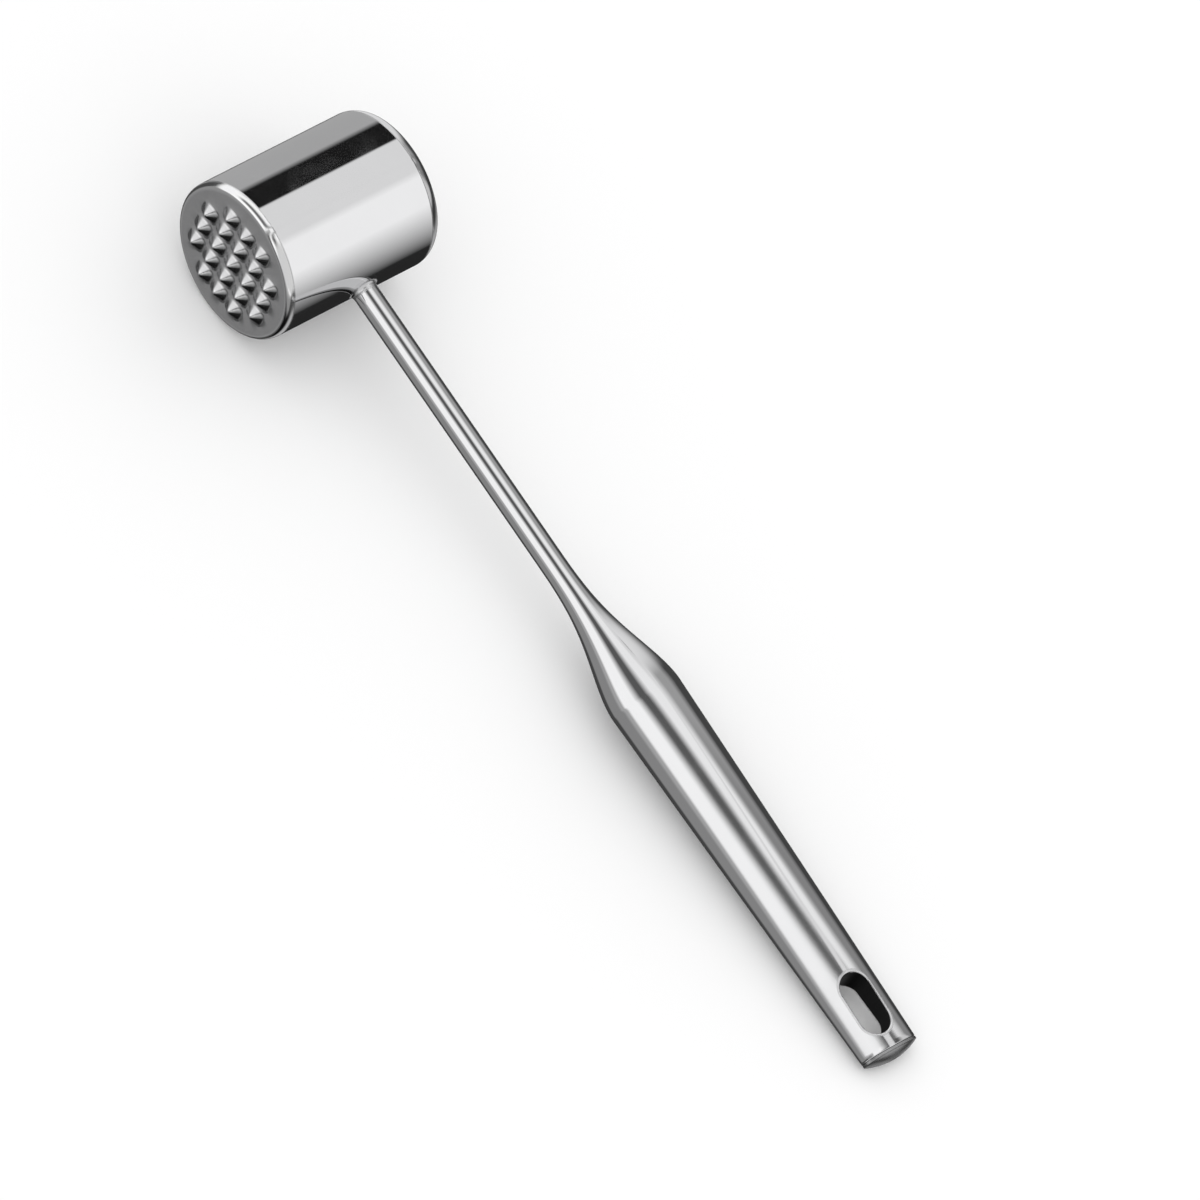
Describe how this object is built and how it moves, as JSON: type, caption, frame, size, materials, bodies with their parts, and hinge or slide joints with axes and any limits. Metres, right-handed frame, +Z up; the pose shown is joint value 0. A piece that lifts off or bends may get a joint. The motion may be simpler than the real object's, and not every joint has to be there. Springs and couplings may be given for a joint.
{
  "type": "meat mallet",
  "caption": "Polished steel meat mallet: round head with a studded and a smooth striking face, thin stem, and a swelling hollow grip that flattens to a hang slot.",
  "frame": {"origin": "centre of the bounding box at its lowest plane, where the mallet lies on a table on the head's side and the rim of the grip's end", "axes": "+X along the handle from the head to the grip's end as it lies, +Y along the head from the studded to the smooth face, +Z up"},
  "size_m": [0.3066, 0.0584, 0.047],
  "materials": {
    "polished_steel": "mirror-polished stainless steel",
    "cast_steel": "fine satin cast stainless steel with polished rim",
    "striking_steel": "polished stainless steel with faint turning marks",
    "inner_steel": "as-turned stainless steel",
    "handle_steel": "polished stainless steel with fine lengthwise polishing lines",
    "slot_steel": "unpolished dark drawn stainless steel",
    "cap_steel": "satin stainless steel"
  },
  "bodies": {
    "root": {"head_barrel": "polished_steel", "studded_face": "cast_steel", "smooth_face": "striking_steel", "stem_boss": "inner_steel", "neck_weld": "handle_steel", "stem_rod": "handle_steel", "grip_shell": "handle_steel", "hang_slot_liner": "slot_steel", "grip_end_cap": "cap_steel"}
  },
  "joints": []
}
